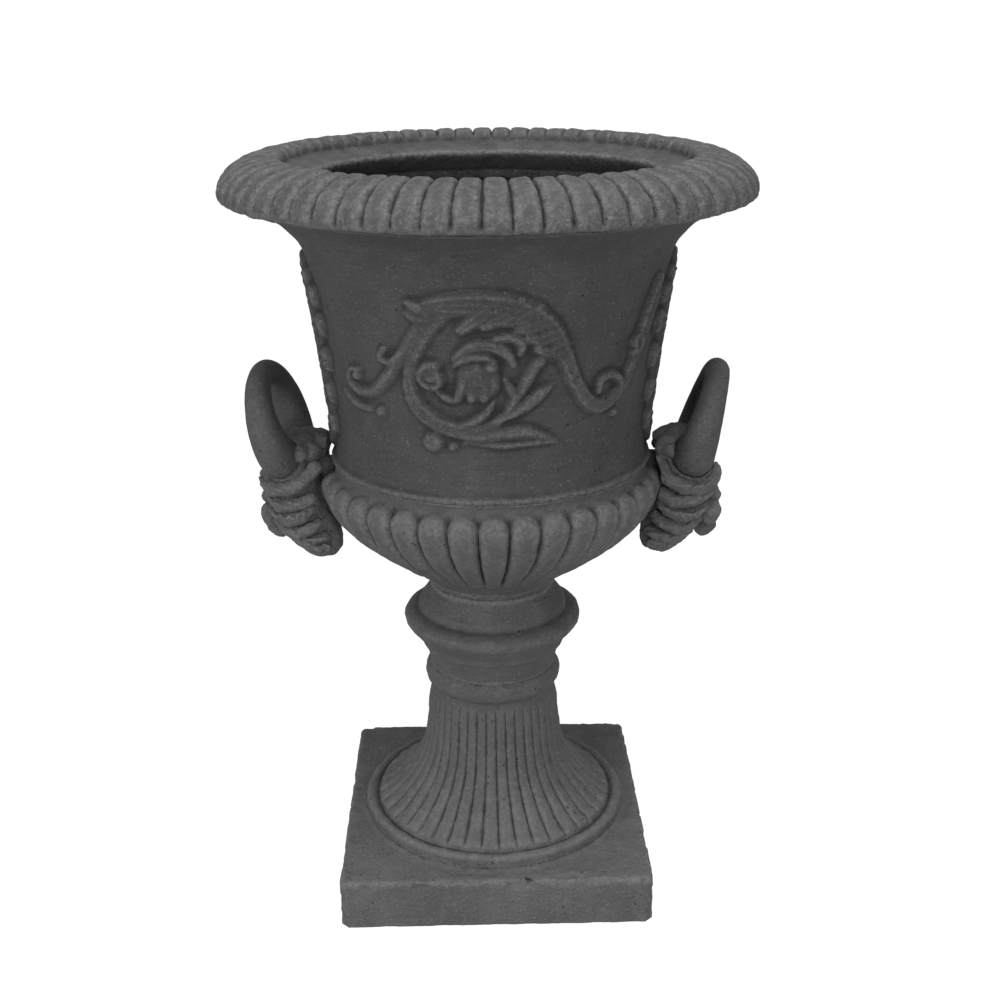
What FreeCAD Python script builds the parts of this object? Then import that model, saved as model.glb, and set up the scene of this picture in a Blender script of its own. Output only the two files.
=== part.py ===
import FreeCAD, Part
import os
from math import cos, sin, radians, sqrt, hypot
from FreeCAD import Vector as V

os.makedirs("parts", exist_ok=True)

# Classical urn planter: a campana bowl with a gadrooned lip and under-bowl, on a fluted
# socle and a square plinth.  Millimetres, +Z up, origin at the centre of the footprint,
# -Y is the front.  The drums stack face to face and one tie rod clamps the foot.

# ---------------------------------------------------------------- driving dimensions
height = 700.0            # floor to the crest of the lip
lip_radius = 235.0        # drip edge of the lip
throat_radius = 152.0     # clear opening for the plant
plinth_side = 295.0
plinth_height = 49.0
wall = 12.0               # bell wall
handle_twist = -8.5       # each handle is turned on its seat, degrees about the upright

lip_lobes = 64
bowl_lobes = 36
socle_reeds = 42

# levels of the seats between the drums
stem_seat = 208.0         # stem on the socle
bowl_seat = 295.0         # under-bowl on the stem
bell_seat = 423.0         # bell on the under-bowl
lip_seat = height - 40.0  # rim on the bell

# fits
spigot_fit = 0.4          # radial play of every spigot in its rebate
spigot_gap = 0.5          # air under every spigot, so that the faces carry the load
thread_fit = 0.1          # radial play of the nuts on their rods
bolt_fit = 0.6            # radial play of rods and studs in their holes

# ironmongery
tie_radius = 6.0          # M12 tie rod
tie_washer_radius = 18.5
tie_washer_thick = 3.0
tie_nut_flats = 19.0
tie_nut_height = 10.0
stud_radius = 4.0         # M8 mask studs
stud_washer_radius = 12.0
stud_washer_thick = 2.0
stud_nut_flats = 13.0
stud_nut_height = 6.5

Z = V(0, 0, 1)
O = V(0, 0, 0)


# ---------------------------------------------------------------- shared construction
def rz(r, z):
    """A point of a meridian outline."""
    return V(r, 0, z)


def line(a, b):
    return Part.makeLine(rz(*a), rz(*b))


def arc(a, mid, b):
    return Part.Arc(rz(*a), rz(*mid), rz(*b)).toShape()


def smooth(points):
    """One free curve through a few points of the outline."""
    curve = Part.BSplineCurve()
    curve.interpolate([rz(*p) for p in points])
    return curve.toShape()


def chain(points):
    """Straight run through the points."""
    return [line(a, b) for a, b in zip(points, points[1:])]


def turned(edges):
    """Solid of revolution from a closed meridian outline."""
    face = Part.Face(Part.Wire(edges))
    return face.revolve(O, Z, 360)


def rod(radius, z0, z1, x=0.0, y=0.0):
    return Part.makeCylinder(radius, z1 - z0, V(x, y, z0))


def polar(shape, angle):
    out = shape.copy()
    out.rotate(O, Z, angle)
    return out


def reed(crest, depth, pitch):
    """One convex lobe: arcs across the lobe, lofted along its crest line.

    Each arc runs from groove to groove over the crest; a depth of zero lays the arc on
    the turned surface, so that the lobe dies into the plain work there. The crest line is
    taken downwards on an outer face, so that the grooves are sunk into the material."""
    half = radians(pitch / 2)
    arcs = []
    for i, (r, z) in enumerate(crest):
        before = crest[max(i - 1, 0)]
        after = crest[min(i + 1, len(crest) - 1)]
        run = hypot(after[0] - before[0], after[1] - before[1])
        inward = ((after[1] - before[1]) / run, -(after[0] - before[0]) / run)
        groove_r = r + inward[0] * depth[i]
        groove_z = z + inward[1] * depth[i]
        left = V(groove_r * cos(half), -groove_r * sin(half), groove_z)
        right = V(groove_r * cos(half), groove_r * sin(half), groove_z)
        arcs.append(Part.Wire(Part.Arc(left, V(r, 0, z), right).toShape()))
    return Part.makeLoft(arcs, False, False).Faces[0]


def lobed(edges, crest, depth, count):
    """Closed drum: the plain outline turned, and one band of equal lobes round it."""
    pitch = 360.0 / count
    sector = []
    for edge in edges:
        start = polar(edge, -pitch / 2)
        sector.append(start.revolve(O, Z, pitch))
    sector.append(reed(crest, depth, pitch))
    faces = []
    for i in range(count):
        for face in sector:
            faces += polar(face, i * pitch).Faces
    shell = Part.Compound(faces)
    shell.sewShape(1e-4)
    solid = Part.Solid(shell.Shells[0])
    if solid.Volume < 0:
        solid.reverse()
    return solid.removeSplitter()


# ---------------------------------------------------------------- rim
# One ring casting: a funnel band inside, then lobes over the crest and round the drip edge.
lip_crest_r = lip_radius - 47.0
lip_centre_z = height - 31.88     # the lofted crest swells 0.38 above its stations
band_r = lip_crest_r - 10.0
band_z = height - 9.8
lip_under_r = lip_radius - 8.0
rebate_r = lip_radius - 53.0       # bell rebate that takes the rim's spigot
rebate_deep = 8.0


def lip_point(angle):
    a = radians(angle)
    return (lip_crest_r + 47.0 * cos(a), lip_centre_z + 31.5 * sin(a))


lip_line = [(band_r, band_z), (band_r + 1.6, band_z + 4.2), (band_r + 5.0, band_z + 8.2)]
lip_line += [lip_point(a) for a in (90, 66, 44, 22, 0)]
lip_line += [(lip_radius - 2.6, lip_seat + 2.2), (lip_under_r, lip_seat)]
lip_deep = [0, 2.6, 4.0, 4.4, 5.0, 5.0, 5.0, 4.6, 2.6, 0]

rim_inside = [
    (lip_under_r, lip_seat),
    (rebate_r - spigot_fit, lip_seat),
    (rebate_r - spigot_fit, lip_seat - rebate_deep + spigot_gap),
    (rebate_r - 12.0, lip_seat - rebate_deep + spigot_gap),
    (rebate_r - 12.0, lip_seat + 1.0),
    (throat_radius + 1.0, height - 28.0),
    (throat_radius, height - 26.5),
    (throat_radius, height - 21.0),
]
rim_edges = chain(rim_inside)
rim_edges.append(smooth([(throat_radius, height - 21.0), (throat_radius + 3.2, height - 18.0),
                         (throat_radius + 13.0, height - 14.0), (band_r, band_z)]))
rim = lobed(rim_edges, lip_line, lip_deep, lip_lobes)

# ---------------------------------------------------------------- bell
# Plain turned campana bell; its carved ornament is applied work on this surface.
flange_r = lip_radius - 22.0       # edge of the bell's top face, which carries the rim
bell_outer = [(147.0, bell_seat), (142.0, bell_seat + 20), (141.2, bell_seat + 34), (144.6, bell_seat + 77),
              (152.2, bell_seat + 137), (159.6, bell_seat + 180), (flange_r - 46.2, lip_seat - 36),
              (flange_r - 28.2, lip_seat - 15), (flange_r, lip_seat)]
bell_inner = [(rebate_r - 4.0, lip_seat - rebate_deep), (rebate_r - 13.0, lip_seat - 22),
              (rebate_r - 28.0, lip_seat - 39), (159.6 - wall, bell_seat + 177),
              (152.2 - wall, bell_seat + 135), (144.6 - wall, bell_seat + 77),
              (141.2 - wall, bell_seat + 34), (131.0, bell_seat + 6), (131.0, bell_seat)]
lip_in_r = 131.0                   # bore of the bell's locating lip
lip_out_r = 138.0                  # outside of that lip
lip_deep_z = 8.0
bell_edges = [smooth(bell_outer)]
bell_edges += chain([(flange_r, lip_seat), (rebate_r, lip_seat), (rebate_r, lip_seat - rebate_deep),
                     (rebate_r - 4.0, lip_seat - rebate_deep)])
bell_edges.append(smooth(bell_inner))
bell_edges += chain([(lip_in_r, bell_seat), (lip_in_r, bell_seat - lip_deep_z + spigot_gap),
                     (lip_out_r, bell_seat - lip_deep_z + spigot_gap), (lip_out_r, bell_seat),
                     (147.0, bell_seat)])
bell = turned(bell_edges)

# ---------------------------------------------------------------- under-bowl
# Bowl casting with swelling gadroons, a small cove under the bell, pads for the masks
# and a floor with drain holes.
bore_r = 36.0                      # hollow of stem and socle
boss_top = bowl_seat + 31.0
floor_z = boss_top - 4.0
pad_x = 163.0                      # flat face of the mask pads
inner_pad_x = 124.0
stud_z = bell_seat - 36.0
lug_z = bell_seat - 10.0             # plain upper lug of the mask
neck_r = 58.7

bowl_line = [(60.5, 300.5), (72.0, 312.0), (90.0, 324.8), (112.0, 340.0), (130.4, 354.5), (145.2, 369.5),
             (155.2, 385.0), (159.0, 400.0), (157.8, 409.5), (154.0, 414.2), (150.0, 415.5)]
bowl_deep = [0, 2.6, 4.0, 4.8, 5.3, 5.5, 5.5, 5.0, 3.6, 1.8, 0]
bowl_edges = [arc((150.0, 415.5), (147.2, 418.6), (148.5, bell_seat))]
bowl_edges += chain([(148.5, bell_seat), (lip_out_r + spigot_fit, bell_seat),
                     (lip_out_r + spigot_fit, bell_seat - lip_deep_z), (134.0, bell_seat - lip_deep_z)])
bowl_edges.append(smooth([(134.0, bell_seat - lip_deep_z), (137.4, 398.0), (133.6, 380.0), (114.0, 356.0),
                          (86.0, 337.0), (60.0, floor_z + 2.0), (44.0, floor_z)]))
bowl_edges += chain([(44.0, floor_z), (tie_washer_radius + 1.5, floor_z), (tie_washer_radius + 1.5, boss_top),
                     (tie_radius + bolt_fit, boss_top), (tie_radius + bolt_fit, bowl_seat - 9.0),
                     (bore_r - spigot_fit, bowl_seat - 9.0), (bore_r - spigot_fit, bowl_seat),
                     (neck_r, bowl_seat), (60.5, 300.5)])
under_bowl = lobed(bowl_edges, bowl_line[::-1], bowl_deep[::-1], bowl_lobes)

drain_radius = 5.0
drain_circle = 26.0
for i in range(3):
    a = radians(90 + 120 * i)
    under_bowl = under_bowl.cut(rod(drain_radius, bowl_seat - 12, boss_top + 2,
                                    drain_circle * cos(a), drain_circle * sin(a)))


def along_x(radius, x0, x1, z):
    """Round bar along the axis of a handle, before the handle is turned on its seat."""
    return Part.makeCylinder(radius, x1 - x0, V(x0, 0, z), V(1, 0, 0))


def place_handle(shape, side):
    """Turns handle work on its seat and sets it at the right (0) or left (180) of the bowl."""
    out = shape.copy()
    out.rotate(V(pad_x, 0, 0), Z, handle_twist)
    out.rotate(O, Z, side)
    return out


stud_hole = along_x(stud_radius + bolt_fit, inner_pad_x - 5, pad_x + 5, stud_z)
inner_pad = along_x(stud_washer_radius + 1.0, inner_pad_x, 140.0, stud_z)
for side in (0, 180):
    seat = along_x(12.0, 145.0, pad_x, stud_z)
    lug = along_x(9.0, 145.0, pad_x, lug_z)
    under_bowl = under_bowl.fuse([place_handle(form, side) for form in (seat, lug, inner_pad)])
    under_bowl = under_bowl.cut(place_handle(stud_hole, side))

# ---------------------------------------------------------------- stem
# Turned baluster between bowl and socle: waisted collar, swelling roll and short neck.
stem_edges = [smooth([(61.0, stem_seat), (61.6, stem_seat + 6), (62.6, stem_seat + 13), (66.5, stem_seat + 24),
                      (72.6, stem_seat + 34), (80.6, stem_seat + 43), (83.6, stem_seat + 47)])]
stem_edges.append(arc((83.6, stem_seat + 47), (86.0, stem_seat + 52), (82.0, stem_seat + 56.4)))
stem_edges.append(smooth([(82.0, stem_seat + 56.4), (74.0, stem_seat + 62), (65.8, stem_seat + 72),
                          (60.0, stem_seat + 80), (neck_r, bowl_seat)]))
stem_edges += chain([(neck_r, bowl_seat), (bore_r, bowl_seat), (bore_r, stem_seat - 8.0),
                     (bore_r + 6.0, stem_seat - 8.0), (bore_r + 6.0, stem_seat), (61.0, stem_seat)])
stem = turned(stem_edges)

# ---------------------------------------------------------------- socle
# Trumpet foot: bead and plain ring above, reeds on the concave shaft, rolled base ring.
base_r = 129.5
socle_spigot_r = 70.0
reed_line = [(114.6, plinth_height + 15.5), (111.0, plinth_height + 17.6), (105.8, plinth_height + 21.5),
             (95.5, plinth_height + 31), (86.2, plinth_height + 41), (76.6, plinth_height + 54),
             (69.6, plinth_height + 70), (65.4, plinth_height + 92), (63.3, plinth_height + 118),
             (62.2, plinth_height + 127), (60.6, plinth_height + 131)]
reed_deep = [0, 1.9, 3.0, 3.2, 3.1, 2.9, 2.7, 2.5, 2.3, 1.4, 0]
socle_edges = [smooth([(60.6, plinth_height + 131), (60.4, plinth_height + 134), (60.6, stem_seat - 19.5)]),
               arc((60.6, stem_seat - 19.5), (65.8, stem_seat - 8.5), (61.0, stem_seat))]
socle_edges += chain([(61.0, stem_seat), (bore_r + 6.0 + spigot_fit, stem_seat),
                      (bore_r + 6.0 + spigot_fit, stem_seat - 8.0 - spigot_gap),
                      (bore_r, stem_seat - 8.0 - spigot_gap), (bore_r, plinth_height + 90),
                      (socle_spigot_r + spigot_fit, plinth_height + 20),
                      (socle_spigot_r + spigot_fit, plinth_height), (base_r - 0.5, plinth_height)])
socle_edges.append(arc((base_r - 0.5, plinth_height), (base_r + 0.4, plinth_height + 5),
                       (base_r - 4, plinth_height + 9.6)))
socle_edges.append(smooth([(base_r - 4, plinth_height + 9.6), (base_r - 9, plinth_height + 10.6),
                           (base_r - 13, plinth_height + 11.4), (114.6, plinth_height + 15.5)]))
socle = lobed(socle_edges, reed_line[::-1], reed_deep[::-1], socle_reeds)

# ---------------------------------------------------------------- plinth
# Square block with soft edges, a locating spigot, the sunk seat of the tie nut and drains.
sunk_radius = 32.0
sunk_deep = 24.0
half = plinth_side / 2
plinth = Part.makeBox(plinth_side, plinth_side, plinth_height, V(-half, -half, 0))
upright = [e for e in plinth.Edges if abs(e.Vertexes[0].Z - e.Vertexes[1].Z) > 1]
plinth = plinth.makeFillet(9.0, upright)
top_edges = [e for e in plinth.Edges if min(v.Z for v in e.Vertexes) > plinth_height - 0.1]
plinth = plinth.makeFillet(4.5, top_edges)
plinth = plinth.fuse(rod(socle_spigot_r, plinth_height - 5, plinth_height + 8))
plinth = plinth.cut(rod(sunk_radius, -1, sunk_deep))
plinth = plinth.cut(rod(tie_radius + bolt_fit, 0, plinth_height + 20))
plinth = plinth.cut(Part.makeBox(12.0, half + 1, 5.0, V(-6.0, 0, 0)))
for i in range(3):
    a = radians(90 + 120 * i)
    plinth = plinth.cut(rod(drain_radius, 0, plinth_height + 20,
                            drain_circle * cos(a), drain_circle * sin(a)))

# ---------------------------------------------------------------- ring handles
# Closed ring, slim above and heavy below, leaning outwards; its flat foot stands in the
# groove across the head of the mask.
ring_x = 199.0
ring_z = 459.0
ring_radius = 42.0
ring_lean = 14.4                   # degrees out from upright
bar_top = 11.0                     # radius of the bar at the top of the ring
bar_side = 15.0
bar_foot = 21.0                    # and at its foot
foot_cut = 6.0                     # depth of the flat on the foot
ring_fit = 0.5


def ring_bar(extra):
    """Ring in its own plane about the origin, the bar swelling from top to foot."""
    sections = []
    for i in range(9):
        a = radians(22.5 * i)
        bend = (bar_top + bar_foot) / 2 - bar_side
        r = bar_side + (bar_top - bar_foot) / 2 * cos(a) + bend * cos(a) ** 2 + extra
        centre = V(0, ring_radius * sin(a), ring_radius * cos(a))
        circle = Part.Circle(centre, V(0, cos(a), -sin(a)), r)
        sections.append(Part.Wire(circle.toShape()))
    side = Part.makeLoft(sections, True, False)
    other = side.mirror(O, V(0, 1, 0))
    return side.fuse(other).removeSplitter()


def stand_ring(shape):
    """Leans the ring and sets it at its height beside the bowl."""
    out = shape.copy()
    out.rotate(O, V(0, 1, 0), ring_lean)
    out.translate(V(ring_x, 0, ring_z))
    return out


foot_level = -(ring_radius + bar_foot - foot_cut)
below_foot = Part.makeBox(200, 200, 60, V(-100, -100, foot_level - 60))
ring = stand_ring(ring_bar(0).cut(below_foot))
groove = stand_ring(ring_bar(ring_fit).cut(below_foot))

# ---------------------------------------------------------------- handle masks
# Plain body of the mask: a lean shield of oval sections, brow and muzzle swelling from it,
# a groove on top for the ring and two flat bosses on the back.
mask_sections = [(329, 143, 166, 14), (338, 141, 183, 22), (352, 145, 194, 28), (366, 151, 201, 32),
                 (382, 157, 206, 35), (398, 160, 209, 37), (412, 160, 210, 37), (426, 158, 207, 33),
                 (437, 157, 195, 27), (444, 159, 184, 19)]
mask_wires = []
for z, back, front, wide in mask_sections:
    x = (back + front) / 2
    mask_wires.append(Part.Wire(Part.Ellipse(V(x, wide, z), V(front, 0, z), V(x, 0, z)).toShape()))
body = Part.makeLoft(mask_wires, True, False)


def swelling(x, y, z, rx, ry, rz_):
    """Egg-shaped swelling on the mask."""
    ball = Part.makeSphere(1.0)
    m = FreeCAD.Matrix()
    m.scale(rx, ry, rz_)
    egg = ball.transformGeometry(m)
    egg.translate(V(x, y, z))
    return egg


brow = swelling(201.0, 0, 400.0, 12.0, 27.0, 13.0)
muzzle = swelling(206.0, 0, 361.0, 13.0, 18.0, 13.0)
body = body.fuse([brow, muzzle])

# the mask clears the gadroons all over; only its two bosses touch the pads
clear = 1.2
widest = max(r for r, z in bowl_line) + clear
clear_line = [(r + clear, z) for r, z in bowl_line[2:7]] + [(widest, bowl_line[7][1]), (widest, 414.0)]
clearance_edges = [smooth(clear_line)]
clearance_edges += chain([clear_line[-1], (154.0, 426.0), (150.0, 460.0), (0.0, 460.0),
                          (0.0, clear_line[0][1]), clear_line[0]])
bowl_room = turned(clearance_edges)
pad_room = along_x(13.0, 150.0, pad_x, stud_z).fuse(along_x(10.0, 150.0, pad_x, lug_z))
body = body.fuse([along_x(12.0, pad_x, 180.0, stud_z), along_x(9.0, pad_x, 175.0, lug_z)])
bowl_room.rotate(V(pad_x, 0, 0), Z, -handle_twist)
body = body.cut(bowl_room).cut(pad_room).cut(groove)
stud_deep = 24.0
mask = body.cut(along_x(stud_radius + thread_fit, pad_x - 5, pad_x + stud_deep, stud_z))

# ---------------------------------------------------------------- ironmongery
def nut(flats, tall, bore, z):
    """Plain hexagon nut, chamfered on both faces, standing on z."""
    corner = flats / sqrt(3)
    points = [V(corner * cos(radians(60 * i)), corner * sin(radians(60 * i)), z) for i in range(7)]
    body = Part.Face(Part.makePolygon(points)).extrude(V(0, 0, tall))
    edge = flats * 0.04
    turned_blank = turned(chain([(0, z), (corner - edge, z), (corner, z + edge), (corner, z + tall - edge),
                                 (corner - edge, z + tall), (0, z + tall), (0, z)]))
    return body.common(turned_blank).cut(rod(bore, z - 1, z + tall + 1))


def washer(outer, bore, thick, z):
    return rod(outer, z, z + thick).cut(rod(bore, z - 1, z + thick + 1))


def lay(shape, x, z):
    """Turns an upright fastener to point outwards along X, its foot at x."""
    out = shape.copy()
    out.rotate(O, V(0, 1, 0), 90)
    out.translate(V(x, 0, z))
    return out


def both_sides(shape):
    return Part.Compound([place_handle(shape, 0), place_handle(shape, 180)])


lower_washer_z = sunk_deep - tie_washer_thick
lower_nut_z = lower_washer_z - tie_nut_height
upper_nut_z = boss_top + tie_washer_thick
tie_rod = rod(tie_radius, lower_nut_z - 5.0, upper_nut_z + tie_nut_height + 7.0)
tie_washers = Part.Compound([washer(tie_washer_radius, tie_radius + bolt_fit, tie_washer_thick, z)
                             for z in (lower_washer_z, boss_top)])
tie_nuts = Part.Compound([nut(tie_nut_flats, tie_nut_height, tie_radius + thread_fit, z)
                          for z in (lower_nut_z, upper_nut_z)])

stud_in = inner_pad_x - stud_washer_thick - stud_nut_height - 5.0
stud = along_x(stud_radius, stud_in, pad_x + stud_deep - 1.0, stud_z)
stud_washer = lay(washer(stud_washer_radius, stud_radius + bolt_fit, stud_washer_thick, 0),
                  inner_pad_x - stud_washer_thick, stud_z)
stud_nut = lay(nut(stud_nut_flats, stud_nut_height, stud_radius + thread_fit, 0),
               inner_pad_x - stud_washer_thick - stud_nut_height, stud_z)

# ---------------------------------------------------------------- output
nodes = {
    "rim": rim,
    "bell": bell,
    "under_bowl": under_bowl,
    "stem": stem,
    "socle": socle,
    "plinth": plinth,
    "handle_mask_right": place_handle(mask, 0),
    "handle_mask_left": place_handle(mask, 180),
    "ring_handle_right": place_handle(ring, 0),
    "ring_handle_left": place_handle(ring, 180),
    "tie_rod": tie_rod,
    "tie_washers": tie_washers,
    "tie_nuts": tie_nuts,
    "mask_studs": both_sides(stud),
    "mask_washers": both_sides(stud_washer),
    "mask_nuts": both_sides(stud_nut),
}
for name, shape in nodes.items():
    shape.exportStep("parts/" + name + ".step")
    print(name, shape.isValid(), shape.ShapeType, len(shape.Solids), round(shape.Volume / 1000, 1))
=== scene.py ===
import bpy
import bmesh
import math
import numpy as np
from mathutils import Matrix, Vector, noise


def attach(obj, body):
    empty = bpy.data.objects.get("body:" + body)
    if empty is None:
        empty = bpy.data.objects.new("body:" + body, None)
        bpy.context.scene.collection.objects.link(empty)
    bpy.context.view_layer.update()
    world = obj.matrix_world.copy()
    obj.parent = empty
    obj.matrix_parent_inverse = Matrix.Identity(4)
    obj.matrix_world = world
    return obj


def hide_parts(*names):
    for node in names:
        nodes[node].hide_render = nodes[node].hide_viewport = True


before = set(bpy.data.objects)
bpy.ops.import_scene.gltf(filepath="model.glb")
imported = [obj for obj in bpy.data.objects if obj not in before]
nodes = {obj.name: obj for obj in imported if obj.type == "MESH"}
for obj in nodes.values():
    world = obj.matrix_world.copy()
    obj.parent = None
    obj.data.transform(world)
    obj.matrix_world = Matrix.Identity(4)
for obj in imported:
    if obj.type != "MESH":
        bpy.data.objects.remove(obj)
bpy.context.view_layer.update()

# ---------------------------------------------------------------- rim
# The lip is one heavy ring casting: a smooth funnel band round the throat, then plump lobes
# that roll over the crest and under the drip edge. The casting skin is dry, pitted and sandy,
# and the painted charcoal has chipped off here and there.


class Socket:
    """A shader value; arithmetic on it adds the Math nodes."""

    def __init__(self, tree, link):
        self.tree, self.link = tree, link

    def math(self, operation, *others):
        return self.tree.add("Math", {"operation": operation}, [self, *others])

    def __add__(self, other):
        return self.math("ADD", other)

    def __sub__(self, other):
        return self.math("SUBTRACT", other)

    def __mul__(self, other):
        return self.math("MULTIPLY", other)

    def __rsub__(self, other):
        return self.tree.add("Math", {"operation": "SUBTRACT"}, [other, self])

    def __gt__(self, other):
        return self.math("GREATER_THAN", other)

    __radd__, __rmul__ = __add__, __mul__

    def clamp(self):
        return self.tree.add("Clamp", {}, [self])

    def ramp(self, low, high):
        """0 below low, 1 above high, eased between."""
        return self.tree.add("MapRange", {"interpolation_type": "SMOOTHSTEP"}, [self, low, high, 0.0, 1.0])


class Tree:
    """Node tree of one finish."""

    def __init__(self, name):
        self.material = bpy.data.materials.new(name)
        self.material.use_nodes = True
        self.nodes = self.material.node_tree.nodes
        self.nodes.clear()
        self.place = self.add("TexCoord", {}, [], "Object")

    def add(self, kind, settings, values, output=0):
        node = self.nodes.new("ShaderNode" + kind)
        for key, value in settings.items():
            setattr(node, key, value)
        pairs = values.items() if isinstance(values, dict) else enumerate(values)
        for key, value in pairs:
            if isinstance(value, Socket):
                self.material.node_tree.links.new(value.link, node.inputs[key])
            elif value is not None:
                node.inputs[key].default_value = value
        return Socket(self, node.outputs[output]) if node.outputs else None

    def noise(self, size, detail=3.0, rough=0.55, place=None, stretch=0.0):
        """Cloudy noise; size is in metres."""
        values = {"Vector": place or self.place, "Scale": 1.0 / size, "Detail": detail, "Roughness": rough,
                  "Distortion": stretch}
        return self.add("TexNoise", {}, values)

    def cells(self, size, feature="F1", place=None, output="Distance"):
        values = {"Vector": place or self.place, "Scale": 1.0 / size}
        return self.add("TexVoronoi", {"feature": feature}, values, output)

    def mix(self, factor, a, b):
        return self.add("Mix", {"data_type": "RGBA"}, {0: factor, 6: a, 7: b}, 2)

    def bump(self, height, depth, below=None):
        values = {"Strength": 1.0, "Distance": depth, "Height": height}
        if below is not None:
            values["Normal"] = below
        return self.add("Bump", {}, values)


def cast_finish(name, painted_light_level=1.0, grain=1.0, dust=0.5, brushed=0.0):
    """Charcoal paint on a pale fibre-clay casting: painted shade in the hollows, ridges paler as rubbed
    paint and a painted highlight, sandy grain, pinholes painted dark as their shade, chips and dust. A
    light level per piece lightens or darkens the whole paint: painted light and shade. The skin carries
    "hollow", metres below its surroundings."""
    t = Tree(name)
    cloud = t.noise(0.075, 5.0, 0.62)
    grit = t.noise(0.0014, 3.0, 0.7)
    sand = t.noise(0.0042, 5.0, 0.68)
    lumps = t.noise(0.020, 4.0, 0.55)
    streak = t.noise(0.022, 5.0, 0.65, t.add("Mapping", {}, {"Vector": t.place, "Scale": (1.0, 1.0, 0.32)}))
    pits = t.cells(0.0085)
    pit = (1.0 - pits.ramp(0.05, 0.16)) * (t.noise(0.030, 2.0, 0.5) > 0.56)
    chips = t.cells(0.026)
    chip = (1.0 - (chips + sand * 0.03).ramp(0.030, 0.040)) * (t.noise(0.11, 2.0, 0.5) > 0.60)
    up = t.add("SeparateXYZ", {}, [t.add("NewGeometry", {}, [], "Normal")], "Z")
    hollow = t.add("Attribute", {"attribute_name": "hollow"}, [], "Fac") + (sand - 0.5) * 0.0003
    painted_hollow_shade = hollow.ramp(0.00010, 0.0013)
    ridge_wear_and_highlight = (0.0 - hollow).ramp(0.00008, 0.0012)
    speck = t.noise(0.0021, 2.0, 0.6)
    # The light level of the piece scales the paint: painted light and shade, not a tone of its own.
    paint = t.mix(cloud.ramp(0.3, 0.7), (0.064 * painted_light_level, 0.065 * painted_light_level, 0.066 * painted_light_level, 1),
                  (0.088 * painted_light_level, 0.089 * painted_light_level, 0.090 * painted_light_level, 1))
    paint = t.mix(streak.ramp(0.45, 0.75) * 0.45, paint, (0.115 * painted_light_level, 0.116 * painted_light_level, 0.117 * painted_light_level, 1))
    paint = t.mix(sand.ramp(0.50, 0.80) * (0.35 * grain), paint,
                  (0.135 * painted_light_level, 0.136 * painted_light_level, 0.137 * painted_light_level, 1))
    paint = t.mix(up.ramp(0.35, 1.0) * (streak.ramp(0.35, 0.7) * (dust * 0.4)), paint,
                  (0.15, 0.15, 0.149, 1))
    paint = t.mix(speck.ramp(0.60, 0.72) * (0.42 * grain), paint, (0.20, 0.20, 0.199, 1))
    paint = t.mix((1.0 - speck.ramp(0.28, 0.40)) * (0.45 * grain), paint, (0.03, 0.03, 0.031, 1))
    # Painted shade: darker where the skin lies below its surroundings.
    paint = t.mix(painted_hollow_shade * 0.8, paint, (0.018, 0.018, 0.019, 1))
    # Paler on the ridges: partly rubbed paint, partly a painted highlight.
    paint = t.mix(ridge_wear_and_highlight * (sand.ramp(0.30, 0.65) * 0.42), paint, (0.20, 0.201, 0.202, 1))
    # Pinholes painted darker than the paint: painted shade inside them, over their bump.
    paint = t.mix(pit * 0.8, paint, (0.016, 0.016, 0.017, 1))
    paint = t.mix(chip * 0.85, paint, (0.62, 0.61, 0.59, 1))
    relief = lumps * 0.55 + sand * (0.36 * grain) + speck * (0.16 * grain) + grit * (0.10 * grain)
    if brushed:
        squash = t.add("Mapping", {}, {"Vector": t.place, "Scale": (1.0, 1.0, 5.0)})
        relief = relief + t.noise(0.035, 5.0, 0.6, squash, 1.2) * brushed
    normal = t.bump(relief, 0.0026)
    normal = t.bump(1.0 - pit, 0.0012, normal)
    shader = t.add("BsdfPrincipled", {},
                   {"Base Color": paint, "Roughness": 0.82 - ridge_wear_and_highlight * 0.16 - lumps * 0.14,
                                          "Normal": normal, "Specular IOR Level": 0.45})
    t.add("OutputMaterial", {}, [shader])
    return t.material


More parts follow.
